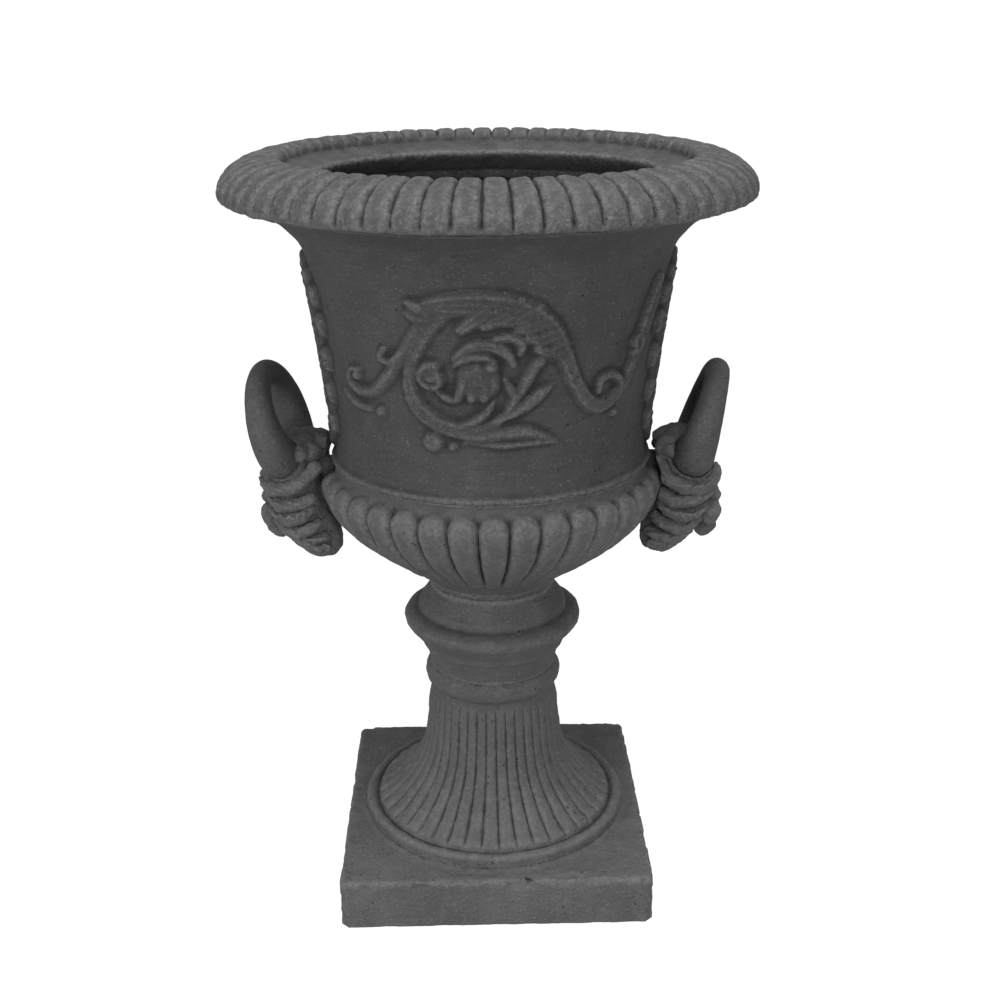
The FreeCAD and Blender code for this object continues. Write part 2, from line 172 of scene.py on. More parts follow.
def repeat_tree(name):
    """Geometry Nodes: one sector turned round the axis Count times, welded, then its skin made uneven."""
    tree = bpy.data.node_groups.new(name, "GeometryNodeTree")
    face = tree.interface
    face.new_socket("Geometry", in_out="INPUT", socket_type="NodeSocketGeometry")
    face.new_socket("Count", in_out="INPUT", socket_type="NodeSocketInt")
    face.new_socket("Unevenness", in_out="INPUT", socket_type="NodeSocketFloat")
    face.new_socket("Lump Size", in_out="INPUT", socket_type="NodeSocketFloat")
    face.new_socket("Seed", in_out="INPUT", socket_type="NodeSocketFloat")
    face.new_socket("Finish", in_out="INPUT", socket_type="NodeSocketMaterial")
    face.new_socket("Geometry", in_out="OUTPUT", socket_type="NodeSocketGeometry")

    def node(kind, **settings):
        n = tree.nodes.new(kind)
        for key, value in settings.items():
            setattr(n, key, value)
        return n

    def join(a, b):
        tree.links.new(a, b)

    given = node("NodeGroupInput").outputs
    line = node("GeometryNodeMeshLine")
    join(given["Count"], line.inputs["Count"])
    line.inputs["Offset"].default_value = (0, 0, 0)
    step = node("ShaderNodeMath", operation="DIVIDE")
    step.inputs[0].default_value = 2 * math.pi
    join(given["Count"], step.inputs[1])
    angle = node("ShaderNodeMath", operation="MULTIPLY")
    join(node("GeometryNodeInputIndex").outputs[0], angle.inputs[0])
    join(step.outputs[0], angle.inputs[1])
    turn = node("ShaderNodeCombineXYZ")
    join(angle.outputs[0], turn.inputs["Z"])
    place = node("GeometryNodeInstanceOnPoints")
    join(line.outputs["Mesh"], place.inputs["Points"])
    join(given["Geometry"], place.inputs["Instance"])
    join(turn.outputs[0], place.inputs["Rotation"])
    real = node("GeometryNodeRealizeInstances")
    join(place.outputs["Instances"], real.inputs["Geometry"])
    weld = node("GeometryNodeMergeByDistance")
    weld.inputs["Distance"].default_value = 0.00002
    join(real.outputs["Geometry"], weld.inputs["Geometry"])

    spread = node("GeometryNodeInputNormal")
    where = node("GeometryNodeInputPosition")
    shift = node("ShaderNodeVectorMath", operation="ADD")
    join(where.outputs[0], shift.inputs[0])
    join(given["Seed"], shift.inputs[1])
    push = None
    for factor, size in ((1.0, 1.0), (0.35, 0.3)):
        lump = node("ShaderNodeTexNoise")
        lump.inputs["Detail"].default_value = 2.0
        scale = node("ShaderNodeMath", operation="DIVIDE")
        scale.inputs[0].default_value = 1.0 / size
        join(given["Lump Size"], scale.inputs[1])
        join(scale.outputs[0], lump.inputs["Scale"])
        join(shift.outputs[0], lump.inputs["Vector"])
        centred = node("ShaderNodeMath", operation="SUBTRACT")
        centred.inputs[1].default_value = 0.5
        join(lump.outputs[0], centred.inputs[0])
        sized = node("ShaderNodeMath", operation="MULTIPLY")
        sized.inputs[1].default_value = factor
        join(centred.outputs[0], sized.inputs[0])
        if push is None:
            push = sized.outputs[0]
        else:
            both = node("ShaderNodeMath", operation="ADD")
            join(push, both.inputs[0])
            join(sized.outputs[0], both.inputs[1])
            push = both.outputs[0]
    amount = node("ShaderNodeMath", operation="MULTIPLY")
    join(push, amount.inputs[0])
    join(given["Unevenness"], amount.inputs[1])
    along = node("ShaderNodeVectorMath", operation="SCALE")
    join(spread.outputs[0], along.inputs[0])
    join(amount.outputs[0], along.inputs["Scale"])
    move = node("GeometryNodeSetPosition")
    join(weld.outputs["Geometry"], move.inputs["Geometry"])
    join(along.outputs[0], move.inputs["Offset"])
    blur = node("GeometryNodeBlurAttribute", data_type="FLOAT_VECTOR")
    blur.inputs["Iterations"].default_value = 9
    join(node("GeometryNodeInputPosition").outputs[0], blur.inputs[0])
    drop = node("ShaderNodeVectorMath", operation="SUBTRACT")
    join(blur.outputs[0], drop.inputs[0])
    join(node("GeometryNodeInputPosition").outputs[0], drop.inputs[1])
    lean = node("ShaderNodeVectorMath", operation="DOT_PRODUCT")
    join(drop.outputs[0], lean.inputs[0])
    join(node("GeometryNodeInputNormal").outputs[0], lean.inputs[1])
    keep = node("GeometryNodeStoreNamedAttribute", data_type="FLOAT", domain="POINT")
    keep.inputs["Name"].default_value = "hollow"
    join(move.outputs["Geometry"], keep.inputs["Geometry"])
    join(lean.outputs["Value"], keep.inputs["Value"])
    soft = node("GeometryNodeSetShadeSmooth")
    join(keep.outputs["Geometry"], soft.inputs["Geometry"])
    finish = node("GeometryNodeSetMaterial")
    join(soft.outputs["Geometry"], finish.inputs["Geometry"])
    join(given["Finish"], finish.inputs["Material"])
    join(finish.outputs["Geometry"], node("NodeGroupOutput").inputs["Geometry"])
    return tree


repeat_round = repeat_tree("sector round the axis")


def settle(piece, body, node_name):
    """A finished piece takes the place of its plain CAD node."""
    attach(piece, body)
    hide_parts(node_name)
    return piece


def plain_mesh(name, base, tree, inputs, finish):
    """Runs the tree on the base mesh and keeps the result as a plain mesh."""
    source = bpy.data.objects.new(name + "_sector", base)
    bpy.context.scene.collection.objects.link(source)
    modifier = source.modifiers.new("repeat", "NODES")
    modifier.node_group = tree
    sockets = {s.name: s.identifier for s in tree.interface.items_tree if s.in_out == "INPUT"}
    for key, value in inputs.items():
        modifier[sockets[key]] = value
    bpy.context.view_layer.update()
    made = bpy.data.meshes.new_from_object(source.evaluated_get(bpy.context.evaluated_depsgraph_get()))
    bpy.data.objects.remove(source)
    made.materials.clear()
    made.materials.append(finish)
    piece = bpy.data.objects.new(name, made)
    bpy.context.scene.collection.objects.link(piece)
    return piece


def curve_through(points, gap):
    """Even points on a smooth curve through the given ones (Catmull-Rom), about gap apart."""
    points = np.array(points, float)
    full = np.vstack([2 * points[0] - points[1], points, 2 * points[-1] - points[-2]])
    dense = []
    for i in range(1, len(full) - 2):
        p0, p1, p2, p3 = full[i - 1:i + 3]
        t = np.linspace(0, 1, 40, endpoint=False)[:, None]
        dense.append(0.5 * (2 * p1 + (p2 - p0) * t + (2 * p0 - 5 * p1 + 4 * p2 - p3) * t ** 2
                            + (3 * p1 - p0 - 3 * p2 + p3) * t ** 3))
    dense = np.vstack(dense + [points[-1:]])
    run = np.concatenate([[0], np.cumsum(np.hypot(*np.diff(dense[:, :2], axis=0).T))])
    n = max(int(round(run[-1] / gap)), 1)
    s = np.linspace(0, run[-1], n + 1)
    return np.stack([np.interp(s, run, dense[:, k]) for k in range(dense.shape[1])], 1)


def sector_mesh(outline, count, across, turned_by=0.0, sharp=3.0):
    """One sector of a drum: a closed meridian outline of (r, z, depth) rows in millimetres, walked
    anticlockwise seen with r to the right and z up, so that its outside faces out."""
    outline = np.array(outline, float)
    before, after = np.roll(outline, 1, 0), np.roll(outline, -1, 0)
    tangent = after[:, :2] - before[:, :2]
    tangent /= np.hypot(*tangent.T)[:, None]
    inward = np.stack([-tangent[:, 1], tangent[:, 0]], 1)
    half = math.pi / count
    verts, faces = [], []
    steps = np.sin(np.linspace(-0.5, 0.5, across + 1) * math.pi)
    for s in steps:
        groove = 1 - (1 - abs(s) ** sharp) ** 0.58
        r = outline[:, 0] + inward[:, 0] * outline[:, 2] * groove
        z = outline[:, 1] + inward[:, 1] * outline[:, 2] * groove
        a = s * half + math.radians(turned_by)
        verts += [(x * math.cos(a) / 1000, x * math.sin(a) / 1000, h / 1000) for x, h in zip(r, z)]
    m = len(outline)
    for k in range(across):
        for i in range(m):
            j = (i + 1) % m
            faces.append((k * m + i, (k + 1) * m + i, (k + 1) * m + j, k * m + j))
    mesh = bpy.data.meshes.new("sector")
    mesh.from_pydata(verts, [], faces)
    return mesh


# Light level 0.66: the rim's paint darkened as painted shade.
rim_finish = cast_finish("charcoal_cast_rim", 0.66, 1.2, 0.6)
crest = [(178, 690.2, 0), (178.8, 693.8, 2.8), (182.2, 698.2, 5.4), (188, 699.9, 6.4), (196.5, 699.3, 6.8)]
for a in (68, 54, 41, 28, 14, 3):
    crest.append((188 + 47 * math.cos(math.radians(a)), 668.6 + 31.4 * math.sin(math.radians(a)), 7.0))
crest += [(234.6, 667.2, 5.6), (233.2, 664.9, 3.6), (230.8, 663.8, 0)]
lobes = curve_through(crest, 1.6)
under = curve_through([(230.8, 663.8, 0), (222, 662.8, 0), (215, 660.4, 0), (212, 660, 0),
                       (181.6, 660.0, 0)], 5)[1:]
inside = [(181.6, 652.5, 0), (170, 652.5, 0), (170, 661, 0)]
funnel = curve_through([(170, 661, 0), (160, 669.5, 0), (154.2, 675.4, 0), (152.0, 679.4, 0),
                        (155, 682.4, 0),
                        (165, 685.8, 0), (172, 687.6, 0), (176, 689.0, 0), (178, 690.2, 0)], 2.2)[1:-1]
rim_outline = np.vstack([lobes, under, inside, funnel])[::-1]
rim = plain_mesh("rim_casting", sector_mesh(rim_outline, 64, 14, -10.4, 4.6), repeat_round,
                 {"Count": 64, "Unevenness": 0.0032, "Lump Size": 0.014, "Seed": 3.0, "Finish": rim_finish},
                 rim_finish)
settle(rim, "root", "rim")

# ---------------------------------------------------------------- bell
# Campana bell, cast in one with its low relief: a scroll of acanthus stems front and back and an
# upright leaf over each handle. The carving is softened by the mould and worn, the ground between
# is brushed and pitted. It sits on the under-bowl by a short lip and carries the rim in a rebate.


def carve(field, across, up, rows, keel=2.0, flutes=0, cut=0.22):
    """Lays one stem or leaf on the ground: rows of azimuth (degrees), z, half width, height (mm)."""
    line = curve_through([(a * 2.53, z, w, h) for a, z, w, h in rows], 0.9)
    reach = line[:, 2].max() + 1.5
    box = (across > line[:, 0].min() - reach) & (across < line[:, 0].max() + reach)
    box &= (up > line[:, 1].min() - reach) & (up < line[:, 1].max() + reach)
    if not box.any():
        return
    dx = across[box][:, None] - line[:, 0]
    dz = up[box][:, None] - line[:, 1]
    away = np.hypot(dx, dz) / np.maximum(line[:, 2], 0.4)
    k = away.argmin(1)
    near = away[np.arange(len(k)), k]
    height = 1.2 * line[k, 3] * np.clip(1 - near ** (keel + 0.9), 0, 1) ** 0.6
    if flutes:
        run = np.gradient(line[:, :2], axis=0)
        run /= np.maximum(np.hypot(*run.T), 1e-6)[:, None]
        side = (dx[np.arange(len(k)), k] * run[k, 1] - dz[np.arange(len(k)), k] * run[k, 0])
        side = side / np.maximum(line[k, 2], 0.4)
        height *= 1 - cut * (0.5 - 0.5 * np.cos(2 * math.pi * flutes * (side + 1) / 2)) ** 1.5
    field[box] = np.maximum(field[box], height)


def volute(azimuth, z, radius, turns, start, width, height):
    """Rows of a spiral winding inwards; a negative number of turns winds the other way."""
    rows = []
    for i in range(int(abs(turns) * 8) + 1):
        t = i / (abs(turns) * 8)
        a = math.radians(start) + turns * t * 2 * math.pi
        r = radius * (1 - 0.72 * t)
        rows.append((azimuth + r * math.cos(a) / 2.53, z + r * math.sin(a), width * (1 - 0.35 * t), height))
    return rows


def scroll(field, across, up):
    """The scroll of one face: stem, inner ring of leaves, flower, branches and berries."""
    def put(rows, **style):
        carve(field, across, up, rows, **style)

    put([(-24, 589, 5, 4), (-18, 595, 8, 4.8), (-10, 598, 11, 5.2), (-3, 598, 12, 5.2), (4, 596, 12, 5.2),
         (10, 590, 11.5, 5.2),
         (16, 579, 10.5, 5.2), (20, 566, 9, 5), (24, 545, 7.5, 4.8), (28, 524, 7, 4.8), (33, 507, 7.5, 5),
         (37.5, 501, 7.5, 5),
         (42.5, 503, 7, 5), (47, 511, 6.5, 5), (51, 524, 6, 5), (53.5, 537, 6.5, 5), (56, 554, 8, 5.5),
         (60, 578, 9, 6),
         (63, 600, 6, 5)], keel=4.0, flutes=4, cut=0.30)
    put([(-25, 597, 3.5, 4.2), (-22, 594, 6, 5.4), (-19, 589, 4, 4.6)], keel=2.4)
    put([(-26, 588, 2.5, 3.6), (-23, 584, 4.2, 4.6), (-19, 584, 3, 4)], keel=2.0)
    for rows in ([(3, 599), (-3, 589), (-9, 576)], [(8, 597), (4, 588), (-2, 580)],
                 [(13, 591), (8, 585), (4, 583)],
                 [(16, 582), (12, 578), (8, 577)], [(19, 570), (15, 567), (11, 569)],
                 [(21, 558), (18, 555), (14, 559)]):
        (a0, z0), (a1, z1), (a2, z2) = rows
        put([(a0, z0, 8.5, 5.2), (a1, z1, 8, 5.6), (a2, z2, 5, 5.8)], keel=2.6, flutes=3, cut=0.3)
    put([(-11, 594, 5, 3.6), (-17, 582, 6.5, 4), (-22.5, 563, 6.5, 4), (-26, 542, 6.5, 4.4),
         (-27, 522, 7, 4.6),
         (-24, 505, 8.5, 5), (-18, 494, 8.5, 5), (-11, 489, 8, 5), (-2.5, 491, 6.5, 4.6),
         (4, 501, 3.5, 3.6)],
        keel=3.4, flutes=4, cut=0.28)
    put([(-20, 584, 5, 3), (-25, 566, 5.5, 3.6), (-30, 547, 6, 4.2), (-36, 528, 6, 4.6),
         (-42, 515, 5.5, 4.8),
         (-49, 511, 5, 4.8), (-54, 518, 4, 4.8), (-53, 528, 3.2, 4.8), (-48, 531, 2.6, 4.6)], keel=3.0,
        flutes=2, cut=0.3)
    put([(-49.5, 525, 4.2, 5.6), (-49, 525, 4.2, 5.6)])
    put([(-22.5, 566, 3.5, 3), (-28, 555, 4, 4), (-33, 544, 4, 4.6), (-37, 546, 3.4, 4.8),
         (-35.5, 555, 2.8, 5)])
    put([(-60, 506, 2, 2.6), (-52, 498, 3.8, 4.2), (-45, 497, 3.2, 3.6)])
    put([(-39.8, 497, 5, 5.5), (-39.3, 497, 5, 5.5)])
    put(volute(-19, 534, 11.5, 1.4, 70, 4.4, 5.0))
    put([(-19.2, 534, 4.2, 6.6), (-18.8, 534, 4.2, 6.6)])
    put([(-18.5, 524, 1.5, 4), (-14, 516.5, 4.2, 6), (-10, 515, 1.2, 4)], keel=1.3)
    put([(-4.8, 534, 17, 5.4), (-4.0, 532, 17, 5.4)], keel=4.0)
    for lean in (-14, -5, 4):
        put([(-4.4, 547, 2.5, 6.0), (-4.4 + lean * 0.3, 532, 5.2, 6.3),
             (-4.4 + lean * 0.45, 518, 4.4, 5.8)], keel=2.2)
    put([(-0.5, 545, 5.6, 7.6), (-0.1, 545, 5.6, 7.6)])
    put([(-12, 551, 2.4, 3.6), (-7, 561, 5.4, 5.2), (-1, 563, 6.4, 5.4), (4, 557, 5.4, 5.2),
         (7, 545, 2.4, 4)],
        keel=3.0, flutes=3, cut=0.3)
    put([(-12, 545, 1.8, 3.6), (-8, 552, 4.0, 5.6), (-3, 554, 4.4, 6), (1, 550, 2.4, 5)], keel=2.2)
    put([(1, 569, 3, 4.4), (5.5, 570, 5, 5.4), (9, 564, 4.6, 5.6), (8.6, 556, 3, 5)], keel=2.6, flutes=2,
        cut=0.25)
    put([(14, 547, 5, 5.8), (11.4, 535, 5.4, 5.2), (8.4, 521, 5.2, 4.8), (5, 507, 3.4, 4.2)], keel=2.4,
        flutes=2, cut=0.3)
    put([(14.2, 547, 5.2, 6.4), (14.6, 548, 5.2, 6.4)])
    put([(3.6, 535, 1.4, 4), (5.9, 525, 4, 5.8), (7.4, 514, 1.4, 4)], keel=1.4)
    put([(3, 497, 1.5, 3), (9, 508, 6, 6), (14.6, 519, 6.2, 6.2), (20, 528, 1, 2.5)], keel=1.25)
    put([(3, 500, 1.5, 3), (7.5, 517, 4, 5.4), (12, 533, 1.5, 3)], keel=1.3)
    put([(-17, 491, 2, 3), (-7, 484, 6.2, 5.4), (3, 486, 7, 5.8), (12, 486, 6.5, 5.6), (22, 477, 1, 2.6)],
        keel=1.25)
    put([(-9, 478, 2, 3), (4, 476, 4, 4.4), (14, 477, 3.6, 4.2), (22.5, 474, 1, 2.4)], keel=1.5)
    put([(-11, 495, 1.5, 3), (-6.3, 497, 4, 5.8), (-2, 505, 4, 6), (0.6, 516, 1.4, 3.6)], keel=1.5)
    put([(-20.4, 477, 9.5, 4.6), (-20.0, 477, 9.5, 4.6)], keel=2.4)
    put([(-13.4, 473.5, 4, 4.6), (-13.1, 473.5, 4, 4.6)])
    put([(47.5, 508, 3, 4.4), (46.4, 520, 4, 5), (42, 527, 4.2, 5.4), (37.4, 524, 3.8, 5.4),
         (36.8, 514, 3, 5)])
    put([(45, 491, 4, 5), (45.3, 491, 4, 5)])
    put(volute(53, 549, 8.5, 1.0, 250, 3.6, 6.2))


def side_leaf(field, across, up):
    """Upright leaf over a handle: fluted blade, pairs of turned lobes and a tip that curls out."""
    def put(rows, **style):
        carve(field, across, up, rows, **style)

    put([(0, 446, 14, 5.4), (0, 462, 27, 6.4), (0, 490, 35, 7.2), (0, 530, 38, 7.4), (0, 562, 38, 7.4),
         (0, 582, 32, 7),
         (0, 598, 18, 6)], keel=7.0, flutes=9, cut=0.12)
    for hand in (-1, 1):
        for foot, tip, out, w in ((446, 467, 12, 8), (470, 497, 15, 9), (500, 529, 17, 9.5),
                                  (532, 560, 17, 9),
                                  (560, 585, 15, 8.5), (578, 598, 10, 7)):
            put([(hand * 2, foot, 6, 6.8), (hand * out * 0.55, (foot + tip) / 2 + 2, w + 1, 7.8),
                 (hand * out, tip - 1, w, 7.8), (hand * (out + 1.5), tip - 9, w * 0.6, 6.8)], keel=3.2,
                flutes=3, cut=0.3)
    put([(0, 446, 3, 6), (0, 520, 3.4, 8.4), (0, 590, 3, 8.4), (0, 601, 4, 7)], keel=2.0)
    put([(-5, 597, 6, 6.4), (0, 601, 8, 7.4), (5, 597, 6, 6.4)], keel=2.4)
    put([(-3.4, 443, 5.4, 5), (3.4, 443, 5.4, 5)], keel=2.4)


bell_outside = curve_through([(147.0, 423), (148.0, 424.2), (148.3, 426.4), (147.2, 428.4), (145.3, 429.4),
                              (144.4, 431.4),
                              (142.6, 441), (141.2, 457), (142.3, 478), (144.6, 500),
                              (149.4, 540), (155.0, 580), (159.6, 603), (166.8, 624), (176, 636),
                              (186, 645.5),
                              (198, 653), (212.6, 660)], 1.75)
bell_outside[0] = (147.0, 423.0)
bell_back = [(212.6, 660.0), (198, 660.0), (182.0, 660.0), (182.0, 652.0), (178.0, 652.0)]
bell_inside = curve_through([(178, 652), (169, 638), (154.0, 621), (147.6, 600), (140.2, 558), (132.6, 500),
                             (129.4, 458),
                             (131, 429), (131, 423.0)], 7)
bell_foot = [(131.0, 415.7), (138.0, 415.7), (138.0, 423.0)]
outline = np.vstack([bell_outside, bell_back[1:], bell_inside[1:], bell_foot])
columns = 500
azimuth = np.arange(columns) * 360.0 / columns
face_rows = len(bell_outside)
relief = np.zeros((face_rows, columns))
heights = np.repeat(bell_outside[:, 1:], columns, 1)
for pattern, centre in ((scroll, 270.0), (scroll, 90.0), (side_leaf, 0.0), (side_leaf, 180.0)):
    turned = (azimuth - centre + 180.0) % 360.0 - 180.0
    pattern(relief, np.repeat(turned[None] * 2.53, face_rows, 0), heights)
soft = np.roll(relief, 1, 1) + np.roll(relief, -1, 1)
soft[1:-1] += relief[2:] + relief[:-2]
relief = relief * 0.5 + soft * 0.125
radii = np.repeat(outline[:, :1], columns, 1)
radii[:face_rows] += relief
turn = np.radians(azimuth)
verts = np.stack([radii * np.cos(turn), radii * np.sin(turn), np.repeat(outline[:, 1:], columns, 1)], 2)
rows = len(outline)
index = np.arange(rows * columns).reshape(rows, columns)
nxt, over = np.roll(index, -1, 1), np.roll(index, -1, 0)
faces = np.stack([index, nxt, np.roll(nxt, -1, 0), over], 2).reshape(-1, 4)
mesh = bpy.data.meshes.new("bell_turned")
mesh.from_pydata((verts.reshape(-1, 3) / 1000).tolist(), [], faces.tolist())
# Light level 0.62: the bell's paint darkened as painted shade, as under the rim's overhang.
bell_finish = cast_finish("charcoal_cast_bell", 0.62, 1.15, 0.6, brushed=0.9)
bell = plain_mesh("bell_casting", mesh, repeat_round,
                  {"Count": 1, "Unevenness": 0.0018, "Lump Size": 0.012, "Seed": 7.0,
                   "Finish": bell_finish},
                  bell_finish)
settle(bell, "root", "bell")

# ---------------------------------------------------------------- under-bowl
# Bowl casting with plump gadroons, rounded at their heads under a small cove. Floor inside has
# the boss for the tie nut, and a pad stands out at each side for the mask.


def arched(mesh, low, high, rise, count, turned_by=0.0):
    """Rounds the lobe ends: heads droop and feet lift towards the grooves."""
    pitch = 2 * math.pi / count
    for v in mesh.vertices:
        a = math.atan2(v.co.y, v.co.x) - math.radians(turned_by)
        side = min(abs(2 * a / pitch), 1.0)
        if math.hypot(v.co.x, v.co.y) < low[0] or v.co.z > high[1]:
            continue
        if v.co.z > high[0]:
            v.co.z -= rise * side ** 3 * (v.co.z - high[0]) / (high[1] - high[0])
        if v.co.z < low[1]:
            lift = rise * 0.8 * side ** 3 * (low[1] - v.co.z) / (low[1] - 0.320)
            v.co.x *= 1 + 0.9 * lift / math.hypot(v.co.x, v.co.y)
            v.co.y *= 1 + 0.9 * lift / math.hypot(v.co.x, v.co.y)
            v.co.z += 0.7 * lift


gadroons = curve_through([(60.5, 300.5, 0), (64.4, 305.0, 0), (71.5, 311.6, 0), (80, 318.4, 0),
                          (83.6, 320.8, 0.4),
                          (85.6, 320.6, 2.4), (90, 322.6, 5.4), (100, 330.2, 7.0), (112, 338.8, 7.6),
                          (130.8, 353.6, 8.2), (145.6, 368.8, 8.4), (155.4, 385, 8.4), (159.4, 397, 8.0),
                          (159.0, 404.6, 7.0),
                          (156.4, 409.8, 4.6), (152.0, 412.8, 2.0), (148.4, 413.6, 0.2), (146.8, 414.0, 0)],
                         1.8)
cove = curve_through([(146.8, 414.0, 0), (145.8, 416.6, 0), (145.9, 420.2, 0), (147.4, 423, 0)], 1.2)[1:]
ledge = [(138.4, 423, 0), (138.4, 415, 0), (134, 415, 0)]
hollow = curve_through([(134, 415, 0), (134, 398, 0), (130, 380, 0), (113, 356, 0), (86, 337, 0),
                        (60, 324, 0),
                        (44, 322, 0)], 6)[1:]
boss = [(20, 322, 0), (20, 326, 0), (6.6, 326, 0), (6.6, 286, 0), (35.6, 286, 0), (35.6, 295, 0),
        (58.7, 295, 0)]
sector = sector_mesh(np.vstack([gadroons, cove, ledge, hollow, boss]), 36, 16, 0.0, 4.2)
arched(sector, (0.0845, 0.334), (0.396, 0.4137), 0.0085, 36)
# Light level 0.98: the under-bowl's paint scaled as painted light and shade.
under_finish = cast_finish("charcoal_cast_under_bowl", 0.98, 1.1, 0.7)
under = plain_mesh("under_bowl_casting", sector, repeat_round,
                   {"Count": 36, "Unevenness": 0.0024, "Lump Size": 0.015, "Seed": 11.0,
                    "Finish": under_finish},
                   under_finish)
pads = bmesh.new()
pads.from_mesh(under.data)
for side in (0, math.pi):
    for radius, z in ((0.012, 0.387), (0.009, 0.413)):
        post = Matrix.Rotation(side, 4, "Z") @ Matrix.Translation((0.163, 0, 0))
        post = post @ Matrix.Rotation(math.radians(-8.5), 4, "Z") @ Matrix.Translation((-0.009, 0, z))
        bmesh.ops.create_cone(pads, cap_ends=True, segments=40, radius1=radius, radius2=radius, depth=0.018,
                              matrix=post @ Matrix.Rotation(math.pi / 2, 4, "Y"))
pads.to_mesh(under.data)
pads.free()
settle(under, "root", "under_bowl")

# ---------------------------------------------------------------- stem
# Turned baluster between bowl and foot: waisted collar with a ledge, fat roll, short neck.
collar = curve_through([(61, 208, 0), (60.6, 209.6, 0), (61.4, 213, 0), (63.0, 221, 0), (65.4, 227.6, 0),
                        (66.8, 230.4, 0),
                        (68.4, 231.2, 0), (69.4, 233.0, 0), (71.4, 238.4, 0), (78.6, 247.6, 0),
                        (83.4, 253.2, 0),
                        (85.2, 257.6, 0), (84.8, 261.6, 0), (81.6, 265.2, 0), (77.4, 267.2, 0),
                        (73.4, 267.8, 0),
                        (72.0, 269.0, 0), (71.6, 271.8, 0), (70.0, 275.6, 0), (66.0, 281, 0),
                        (62, 286.4, 0),
                        (59.4, 291.0, 0), (58.7, 295, 0)], 1.3)
stem_back = [(36, 295, 0), (36, 270, 0), (36, 240, 0), (36, 200, 0), (42, 200, 0), (42, 208, 0)]
# Light level 1.02: the stem's paint scaled as painted light and shade.
stem_finish = cast_finish("charcoal_cast_stem", 1.02, 1.2, 0.5, brushed=0.5)
stem = plain_mesh("stem_casting", sector_mesh(np.vstack([collar, stem_back]), 24, 10), repeat_round,
                  {"Count": 24, "Unevenness": 0.0022, "Lump Size": 0.016, "Seed": 19.0,
                   "Finish": stem_finish},
                  stem_finish)
settle(stem, "root", "stem")

# ---------------------------------------------------------------- socle
# Trumpet foot: bead and plain ring on top, soft reeds running out over the concave shaft,
# a rolled ring at the base. Reeds blur towards the top where the mould was worn.
reeds = curve_through([(129.4, 49, 0), (130.0, 53, 0), (129.8, 58.0, 0), (128.2, 61.0, 0), (125.0, 62.2, 0),
                       (121.6, 61.4, 0), (119.6, 59.4, 0), (118.0, 59.2, 0), (117.0, 61.4, 0.4),
                       (115.6, 64.4, 2.6), (112.4, 67.0, 4.2), (106.0, 70.8, 4.8), (95.8, 80.2, 4.8),
                       (86.4, 90.1, 4.6),
                       (77.0, 103.0, 4.2), (70.0, 119.0, 3.7), (65.8, 141.0, 3.3), (63.7, 165.0, 2.7),
                       (62.3, 176.0, 1.8),
                       (60.8, 180.2, 0.3), (60.2, 182.6, 0), (60.6, 187.0, 0)], 1.5)
bead = curve_through([(60.6, 187.0, 0), (61.6, 189.0, 0), (64.4, 191.6, 0), (66.0, 196.4, 0),
                      (65.9, 201.4, 0),
                      (64.2, 205.6, 0), (62.2, 207.0, 0), (61, 208, 0)], 1.1)[1:]
socle_back = [(42.4, 208, 0), (42.4, 199.5, 0), (36, 199.5, 0), (36, 170, 0), (36, 139, 0), (70.4, 69, 0),
              (70.4, 49, 0),
              (100, 49, 0)]
# Light level 1.12: the socle's paint lightened as painted light.
socle_finish = cast_finish("charcoal_cast_socle", 1.12, 1.2, 0.7)
socle = plain_mesh("socle_casting", sector_mesh(np.vstack([reeds, bead, socle_back]), 42, 12, 1.5, 3.4),
                   repeat_round,
                   {"Count": 42, "Unevenness": 0.0026, "Lump Size": 0.014, "Seed": 23.0,
                    "Finish": socle_finish},
                   socle_finish)
settle(socle, "root", "socle")

# ---------------------------------------------------------------- plinth
# Square block of the same casting, its arrises rounded and knocked off by handling. A thin
# fillet of bedding has squeezed out round the foot. Under it: nut seat, drains and channel.


def remade(name, pieces, cutters, voxel):
    """Joins closed bodies into one skin of even small faces, then cuts."""
    work = bmesh.new()
    for piece in pieces:
        work.from_mesh(piece)
    mesh = bpy.data.meshes.new(name)
    work.to_mesh(mesh)
    work.free()
    body = bpy.data.objects.new(name, mesh)
    bpy.context.scene.collection.objects.link(body)
    tools = []
    for cutter in cutters:
        tool = bpy.data.objects.new(name + "_tool", cutter)
        bpy.context.scene.collection.objects.link(tool)
        tools.append(tool)
    if voxel:
        skin = body.modifiers.new("skin", "REMESH")
        skin.mode = "VOXEL"
        skin.voxel_size = voxel
    for tool in tools:
        cut = body.modifiers.new("cut", "BOOLEAN")
        cut.operation = "DIFFERENCE"
        cut.solver = "EXACT"
        cut.object = tool
    bpy.context.view_layer.update()
    made = bpy.data.meshes.new_from_object(body.evaluated_get(bpy.context.evaluated_depsgraph_get()))
    for spent in tools + [body]:
        bpy.data.objects.remove(spent)
    return made


def post_mesh(radius, low, high, matrix=None):
    """Closed cylinder between two heights, in metres."""
    work = bmesh.new()
    place = Matrix.Translation((0, 0, (low + high) / 2))
    bmesh.ops.create_cone(work, cap_ends=True, segments=64, radius1=radius, radius2=radius,
                          depth=high - low,
                          matrix=(matrix or Matrix()) @ place)
    mesh = bpy.data.meshes.new("post")
    work.to_mesh(mesh)
    work.free()
    return mesh


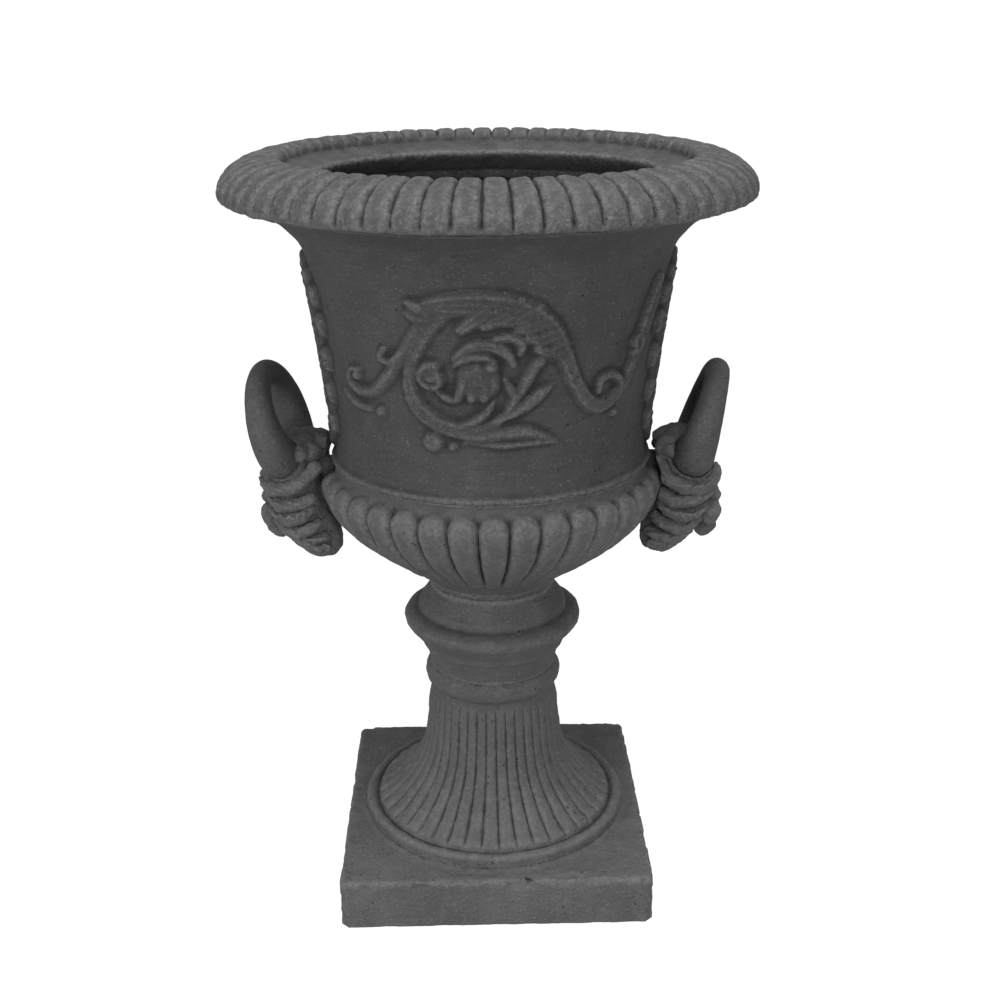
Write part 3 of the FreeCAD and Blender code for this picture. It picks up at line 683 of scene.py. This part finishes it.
def block_mesh(size, centre, soft):
    work = bmesh.new()
    bmesh.ops.create_cube(work, size=1.0, matrix=Matrix.Translation(centre) @ Matrix.Diagonal((*size, 1)))
    if soft:
        uprights = [e for e in work.edges if abs(e.verts[0].co.z - e.verts[1].co.z) > 0.01]
        bmesh.ops.bevel(work, geom=uprights, offset=soft[0], segments=6, profile=0.5, affect="EDGES")
        top = centre[2] + size[2] / 2
        ring_edges = [e for e in work.edges if min(v.co.z for v in e.verts) > top - 1e-4
                      and len({f.normal.z > 0.5 for f in e.link_faces}) == 2]
        bmesh.ops.bevel(work, geom=ring_edges, offset=soft[1], segments=5, profile=0.5, affect="EDGES")
    mesh = bpy.data.meshes.new("block")
    work.to_mesh(mesh)
    work.free()
    return mesh


def bedding_mesh():
    """Ragged bead of bedding round the foot."""
    verts, faces = [], []
    n, m = 300, 10
    for i in range(n):
        a = 2 * math.pi * i / n
        lump = 0.5 + 0.9 * noise.noise(Vector((math.cos(a) * 5, math.sin(a) * 5, 0.3)))
        wide = 0.0026 + 0.0026 * max(lump, 0)
        for k in range(m):
            b = 2 * math.pi * k / m
            r = 0.1302 + wide * math.cos(b)
            verts.append((r * math.cos(a), r * math.sin(a),
                          0.0486 + 0.0020 * (0.7 + 0.5 * lump) * math.sin(b)))
    for i in range(n):
        for k in range(m):
            j, q = (i + 1) % n, (k + 1) % m
            faces.append((i * m + k, j * m + k, j * m + q, i * m + q))
    mesh = bpy.data.meshes.new("bedding")
    mesh.from_pydata(verts, [], faces)
    return mesh


block = block_mesh((0.295, 0.295, 0.049), (0, 0, 0.0245), (0.009, 0.0045))
drains = [post_mesh(0.005, -0.02, 0.09, Matrix.Translation((0.052 * math.cos(a), 0.052 * math.sin(a), 0)))
          for a in (math.radians(90), math.radians(210), math.radians(330))]
cutters = [post_mesh(0.032, -0.01, 0.024), post_mesh(0.0066, -0.01, 0.08), *drains,
           block_mesh((0.012, 0.16, 0.02), (0, 0.08, -0.005), None)]
block = remade("plinth_block", [block], cutters, 0)
spigot = remade("plinth_spigot", [post_mesh(0.0696, 0.03, 0.057)], cutters[1:-1], 0)
skin = remade("plinth_skin", [block, spigot, bedding_mesh()], [], 0.0021)
for v in skin.vertices:
    far = max(abs(v.co.x), abs(v.co.y))
    if v.co.z > 0.001 and far > 0.125:
        arris = max(0.0, 1 - math.hypot(0.1475 - far, 0.049 - v.co.z) / 0.012)
        corner = max(0.0, 1 - math.hypot(0.1475 - abs(v.co.x), 0.1475 - abs(v.co.y)) / 0.016)
        edge = max(arris, corner)
        rough = noise.noise(v.co * 55) + 0.5 * noise.noise(v.co * 160)
        knock = max(0.0, rough - 0.12) * 0.0062 * edge + 0.0006 * edge * noise.noise(v.co * 380)
        v.co -= v.normal * knock
# Light level 1.15: the plinth's paint lightened as painted light.
plinth_finish = cast_finish("charcoal_cast_plinth", 1.15, 1.5, 0.45)
plinth = plain_mesh("plinth_block", skin, repeat_round,
                    {"Count": 1, "Unevenness": 0.0022, "Lump Size": 0.02, "Seed": 31.0,
                     "Finish": plinth_finish},
                    plinth_finish)
for v in plinth.data.vertices:
    v.co.z = max(v.co.z, 0.0)
settle(plinth, "root", "plinth")

# ---------------------------------------------------------------- ring handles
# Cast rings, slim at the top and heavy where they sit in the head; rubbed smooth on top.


def ring_mesh(extra=0.0):
    verts, faces = [], []
    n, m = 132, 56
    for i in range(n):
        a = 2 * math.pi * i / n
        bar = 15 - 5 * math.cos(a) + math.cos(a) ** 2 + extra
        for k in range(m):
            b = 2 * math.pi * k / m
            reach = 42 + bar * math.cos(b)
            point = (bar * math.sin(b), reach * math.sin(a), max(reach * math.cos(a), -57.0 - extra))
            verts.append([c / 1000 for c in point])
    for i in range(n):
        for k in range(m):
            j, q = (i + 1) % n, (k + 1) % m
            faces.append((i * m + k, i * m + q, j * m + q, j * m + k))
    mesh = bpy.data.meshes.new("ring")
    mesh.from_pydata(verts, [], faces)
    return mesh


def beside(side):
    """Seat of a handle: right (0) or left (pi), turned a little about its upright."""
    return (Matrix.Rotation(side, 4, "Z") @ Matrix.Translation((0.163, 0, 0))
            @ Matrix.Rotation(math.radians(-8.5), 4, "Z") @ Matrix.Translation((-0.163, 0, 0)))


stand = Matrix.Translation((0.199, 0, 0.459)) @ Matrix.Rotation(math.radians(14.4), 4, "Y")
# Light level 0.66: the rings' paint darkened as painted shade.
ring_finish = cast_finish("charcoal_cast_ring", 0.66, 0.9, 0.3)
for name, side, seed in (("right", 0.0, 41.0), ("left", math.pi, 43.0)):
    base = ring_mesh()
    base.transform(beside(side) @ stand)
    ring = plain_mesh("ring_" + name, base, repeat_round,
                      {"Count": 1, "Unevenness": 0.0012, "Lump Size": 0.028, "Seed": seed,
                       "Finish": ring_finish},
                      ring_finish)
    settle(ring, "root", "ring_handle_" + name)

# ---------------------------------------------------------------- handle masks
# Lion heads holding the rings: plain shield body, sagging rolls of mane, brow and muzzle, all
# blunt from the mould. The head is built of soft round strokes grown into one skin.


def clay_tree(name):
    """Geometry Nodes: points with a radius become one closed skin."""
    tree = bpy.data.node_groups.new(name, "GeometryNodeTree")
    face = tree.interface
    face.new_socket("Geometry", in_out="INPUT", socket_type="NodeSocketGeometry")
    face.new_socket("Grain", in_out="INPUT", socket_type="NodeSocketFloat")
    face.new_socket("Finish", in_out="INPUT", socket_type="NodeSocketMaterial")
    face.new_socket("Geometry", in_out="OUTPUT", socket_type="NodeSocketGeometry")
    links = tree.links
    given = tree.nodes.new("NodeGroupInput").outputs
    size = tree.nodes.new("GeometryNodeInputNamedAttribute")
    size.data_type = "FLOAT"
    size.inputs["Name"].default_value = "radius"
    dots = tree.nodes.new("GeometryNodeMeshToPoints")
    links.new(given["Geometry"], dots.inputs["Mesh"])
    links.new(size.outputs["Attribute"], dots.inputs["Radius"])
    cloud = tree.nodes.new("GeometryNodePointsToVolume")
    cloud.resolution_mode = "VOXEL_SIZE"
    links.new(dots.outputs[0], cloud.inputs["Points"])
    links.new(given["Grain"], cloud.inputs["Voxel Size"])
    links.new(size.outputs["Attribute"], cloud.inputs["Radius"])
    shell = tree.nodes.new("GeometryNodeVolumeToMesh")
    links.new(cloud.outputs[0], shell.inputs["Volume"])
    shell.inputs["Threshold"].default_value = 0.1
    whole = tree.nodes.new("GeometryNodeRealizeInstances")
    links.new(shell.outputs[0], whole.inputs[0])
    finish = tree.nodes.new("GeometryNodeSetMaterial")
    links.new(whole.outputs[0], finish.inputs["Geometry"])
    links.new(given["Finish"], finish.inputs["Material"])
    links.new(finish.outputs[0], tree.nodes.new("NodeGroupOutput").inputs["Geometry"])
    return tree


def swept(rows, gap=1.3):
    """Balls along a stroke of (x, y, z, radius) rows in millimetres."""
    rows = np.array(rows, float)
    leg = np.linalg.norm(np.diff(rows[:, :3], axis=0), axis=1)
    run = np.concatenate([[0], np.cumsum(leg)])
    n = max(int(run[-1] / gap), 2)
    s = np.linspace(0, run[-1], n)
    line = np.stack([np.interp(s, run, rows[:, k]) for k in range(4)], 1)
    for _ in range(3):
        line[1:-1] = (line[:-2] + 2 * line[1:-1] + line[2:]) / 4
    return line


balls = []
sections = [(335, 143, 170, 14), (341, 143, 182, 22), (352, 146, 192, 28), (366, 152, 198, 31),
            (382, 158, 203, 34),
            (398, 161, 206, 35), (412, 161, 206, 35), (424, 159, 200, 30), (433, 158, 186, 22)]
for (z0, b0, f0, w0), (z1, b1, f1, w1) in zip(sections, sections[1:]):
    for t in (0, 0.25, 0.5, 0.75):
        z, back, front, wide = (p + (q - p) * t for p, q in zip((z0, b0, f0, w0), (z1, b1, f1, w1)))
        thick = min((front - back) / 2, wide)
        for y in np.linspace(-(wide - thick), wide - thick, 9):
            balls.append([((back + front) / 2, y, z, thick)])
middle = [[(212, 0, 379, 6.5), (209, 0, 386, 6)], [(207, 0, 350, 8.5), (202, 0, 346, 8)],
          [(178, 0, 434, 10), (160, 0, 431, 12)], [(176, 0, 338, 8), (154, 0, 337, 9)]]
sides = [[(212, 3, 403, 5.5), (208, 16, 400, 7), (197, 31, 397, 7.5), (181, 38.5, 400, 7),
          (167, 37, 408, 7),
          (158, 29, 419, 7)],
         [(208, 8, 391, 5), (203, 20, 387, 6.5), (191, 34.5, 384, 7), (173, 38, 385, 6.5),
          (163, 34, 391, 6)],
         [(203, 17, 375, 5), (195, 29, 371, 6.5), (184, 36.5, 370, 7), (171, 37, 374, 6),
          (163, 33, 380, 5)],
         [(196, 20, 362, 5.5), (187, 30, 358, 6.8), (175, 34.5, 357, 6.6), (163, 32, 361, 5.6),
          (157, 28, 366, 4.6)],
         [(187, 17, 350, 6), (178, 26, 346, 6.6), (165, 29.5, 346, 6.2), (153, 26, 350, 5.4)],
         [(178, 10, 341, 7), (168, 19, 337, 7), (153, 21, 338, 6.4)],
         [(208, 7.5, 366, 10.5), (208, 8, 360, 10)], [(205, 16, 394, 4.6), (200, 22, 395, 4.6)],
         [(177, 14, 433, 9.5), (163, 19, 430, 10.5)],
         [(186, 27, 421, 8), (178, 30, 429, 7.4), (168, 28, 431, 7)],
         [(200, 24, 412, 6.5), (193, 30, 416, 6.5)]]
hand = np.random.default_rng(5)
strokes = [swept(rows) for rows in middle]
for rows in sides:
    for flip in (1, -1):
        worn = np.array(rows, float)
        worn[1:, :3] += hand.normal(0, 0.9, (len(rows) - 1, 3))
        worn[:, 3] *= hand.uniform(0.82, 1.12, len(rows))
        strokes.append(swept(worn) * (1, flip, 1, 1))
for rows in sides[:6]:
    lock = swept(rows, 1.0)
    for flip in (1, -1):
        for _ in range(9):
            k = int(hand.uniform(0.12, 0.86) * len(lock))
            x, y, z, r = lock[k]
            outward = np.array([x - 172, y * 0.9, 0.0])
            outward /= max(np.linalg.norm(outward), 1e-6)
            start = np.array([x, y, z]) + outward * (r - 1.0) + (0, 0, hand.uniform(1, 4))
            step = lock[min(k + 9, len(lock) - 1), :3] - lock[k, :3]
            end = start + step * hand.uniform(0.8, 1.3) + (0, 0, hand.uniform(-4.5, -1.5))
            fine = hand.uniform(1.5, 2.3)
            strokes.append(swept([(*start, fine), (*((start + end) / 2 + outward * 0.6), fine * 1.15),
                                  (*end, fine * 0.8)],
                                 0.9) * (1, flip, 1, 1))
cloud = np.vstack([np.array(b, float) for b in balls] + strokes)
crease = curve_through([(91.2, 324), (113.2, 339.5), (131.6, 354), (146.4, 369.5), (156.6, 385.5),
                        (160.4, 399),
                        (160.4, 414)], 3)
room = np.vstack([crease, [(154, 426), (150, 460), (60, 460), (60, 324)]])
n = 144
around = np.arange(n) * 2 * math.pi / n
verts = [(r * math.cos(a) / 1000, r * math.sin(a) / 1000, z / 1000) for r, z in room for a in around]
index = np.arange(len(room) * n).reshape(len(room), n)
nxt = np.roll(index, -1, 1)
quads = np.stack([index, nxt, np.roll(nxt, -1, 0), np.roll(index, -1, 0)], 2).reshape(-1, 4)
# Light level 1.3: the masks' paint lightened as painted light.
mask_finish = cast_finish("charcoal_cast_mask", 1.3, 1.5, 0.6)
grow = clay_tree("grown strokes")
for name, side, seed in (("right", 0.0, 53.0), ("left", math.pi, 59.0)):
    dots = bpy.data.meshes.new("strokes")
    dots.from_pydata((cloud[:, :3] / 1000).tolist(), [], [])
    dots.attributes.new("radius", "FLOAT", "POINT").data.foreach_set("value", cloud[:, 3] / 1000)
    grown = plain_mesh("mask_grown", dots, grow, {"Grain": 0.00115, "Finish": mask_finish}, mask_finish)
    skin = grown.data
    bpy.data.objects.remove(grown)
    skin.transform(beside(side))
    soft = plain_mesh("mask_soft", skin, repeat_round,
                      {"Count": 1, "Unevenness": 0.0042, "Lump Size": 0.011, "Seed": seed,
                       "Finish": mask_finish},
                      mask_finish)
    skin = soft.data
    bpy.data.objects.remove(soft)
    clearance = bpy.data.meshes.new("clearance")
    clearance.from_pydata(verts, [], quads.tolist())
    seat = ring_mesh(0.9)
    seat.transform(beside(side) @ stand)
    bores = []
    for radius, z in ((0.013, 0.387), (0.010, 0.413)):
        lying = beside(side) @ Matrix.Translation((0, 0, z)) @ Matrix.Rotation(math.pi / 2, 4, "Y")
        bores.append(post_mesh(radius, 0.140, 0.163, lying))
    lying = beside(side) @ Matrix.Translation((0, 0, 0.387)) @ Matrix.Rotation(math.pi / 2, 4, "Y")
    bores.append(post_mesh(0.0041, 0.158, 0.187, lying))
    skin = remade("mask_cut", [skin], [clearance, seat, *bores], 0)
    skin.materials.clear()
    skin.materials.append(mask_finish)
    mask = bpy.data.objects.new("mask_" + name, skin)
    bpy.context.scene.collection.objects.link(mask)
    skin.shade_smooth()
    settle(mask, "root", "handle_mask_" + name)

# ---------------------------------------------------------------- ironmongery
# Tie rod up the middle and the mask studs, with plain washers and hexagon nuts: zinc-dipped
# steel, dull and spangled, kept as the frame has it.


def galvanised(name, thread=None):
    t = Tree(name)
    spangle = t.add("TexVoronoi", {"feature": "F1"}, {"Vector": t.place, "Scale": 260.0}, "Color")
    tone = t.add("SeparateXYZ", {}, [spangle], "X")
    colour = t.mix(tone * 0.8, (0.36, 0.37, 0.38, 1), (0.52, 0.53, 0.54, 1))
    stain = t.noise(0.012, 4.0, 0.6).ramp(0.5, 0.7)
    colour = t.mix(stain * 0.6, colour, (0.20, 0.19, 0.18, 1))
    height = t.noise(0.0012, 3.0, 0.6)
    normal = t.bump(height, 0.0002)
    if thread:
        axis = t.add("SeparateXYZ", {}, [t.place], thread)
        wave = (axis * (2 * math.pi / 0.00175)).math("SINE")
        normal = t.bump(wave, 0.0005, normal)
    shader = t.add("BsdfPrincipled", {},
                   {"Base Color": colour, "Metallic": 0.85, "Roughness": stain * 0.3 + 0.42,
                                          "Normal": normal})
    t.add("OutputMaterial", {}, [shader])
    return t.material


plain_zinc = galvanised("galvanised_plain")
for node_name, finish in (("tie_rod", galvanised("galvanised_rod", "Z")), ("tie_washers", plain_zinc),
                          ("tie_nuts", plain_zinc), ("mask_studs", galvanised("galvanised_stud", "X")),
                          ("mask_washers", plain_zinc), ("mask_nuts", plain_zinc)):
    nodes[node_name].data.materials.clear()
    nodes[node_name].data.materials.append(finish)

# ---------------------------------------------------------------- floor, light, camera
# Studio of the picture: white paper sweep, broad soft light from above, slight fill in front.
def flat_paper(name):
    t = Tree(name)
    seen = t.add("LightPath", {}, [], "Is Camera Ray")
    paper = t.add("BsdfDiffuse", {}, {"Color": (0.55, 0.55, 0.55, 1)})
    glow = t.add("Emission", {}, {"Color": (1, 1, 1, 1), "Strength": 1.16})
    t.add("OutputMaterial", {}, [t.add("MixShader", {}, [seen * 0.86, paper, glow])])
    return t.material


mesh = bpy.data.meshes.new("floor")
mesh.from_pydata([(-12, -12, -0.0004), (12, -12, -0.0004), (12, 12, -0.0004), (-12, 12, -0.0004)], [],
                 [(0, 1, 2, 3)])
mesh.materials.append(flat_paper("white_paper"))
floor = bpy.data.objects.new("floor", mesh)
bpy.context.scene.collection.objects.link(floor)

world = bpy.data.worlds.new("studio")
bpy.context.scene.world = world
world.use_nodes = True
w = world.node_tree
w.nodes.clear()
path = w.nodes.new("ShaderNodeLightPath")
dim = w.nodes.new("ShaderNodeBackground")
dim.inputs["Color"].default_value = (1, 1, 1, 1)
dim.inputs["Strength"].default_value = 0.42
bright = w.nodes.new("ShaderNodeBackground")
bright.inputs["Strength"].default_value = 1.0
bright.inputs["Color"].default_value = (1, 1, 1, 1)
mixed = w.nodes.new("ShaderNodeMixShader")
w.links.new(path.outputs["Is Camera Ray"], mixed.inputs[0])
w.links.new(dim.outputs[0], mixed.inputs[1])
w.links.new(bright.outputs[0], mixed.inputs[2])
w.links.new(mixed.outputs[0], w.nodes.new("ShaderNodeOutputWorld").inputs[0])


def softbox(name, place, target, size, power):
    data = bpy.data.lights.new(name, "AREA")
    data.shape = "RECTANGLE"
    data.size, data.size_y = size
    data.energy = power
    lamp = bpy.data.objects.new(name, data)
    bpy.context.scene.collection.objects.link(lamp)
    lamp.location = place
    lamp.rotation_euler = (Vector(target) - Vector(place)).to_track_quat("-Z", "Y").to_euler()
    lamp.visible_camera = False


softbox("overhead", (0.2, -0.9, 3.4), (0, 0, 0.4), (1.4, 1.4), 74)
softbox("left_fill", (-1.9, -1.6, 1.2), (0, 0, 0.35), (1.0, 1.0), 20)
softbox("front_fill", (0.4, -2.7, 1.3), (0, 0, 0.3), (0.9, 0.9), 24)

turn = math.radians(-1.40)
pitch, yaw, roll = math.radians(20.413), math.radians(-0.275), math.radians(-0.429)
forward = Vector((math.sin(yaw) * math.cos(pitch), math.cos(yaw) * math.cos(pitch), -math.sin(pitch)))
right = Vector((math.cos(yaw), -math.sin(yaw), 0))
up = right.cross(forward)
right, up = right * math.cos(roll) + up * math.sin(roll), up * math.cos(roll) - right * math.sin(roll)
view = Matrix((right, up, -forward)).transposed().to_4x4()
view.translation = Vector((0.0143, -1.2431, 0.8367))
data = bpy.data.cameras.new("camera")
data.sensor_width = 36
data.lens = 36 * 1.3942
camera = bpy.data.objects.new("camera", data)
bpy.context.scene.collection.objects.link(camera)
camera.matrix_world = Matrix.Rotation(turn, 4, "Z") @ view
bpy.context.scene.camera = camera
bpy.context.scene.view_settings.view_transform = "Standard"
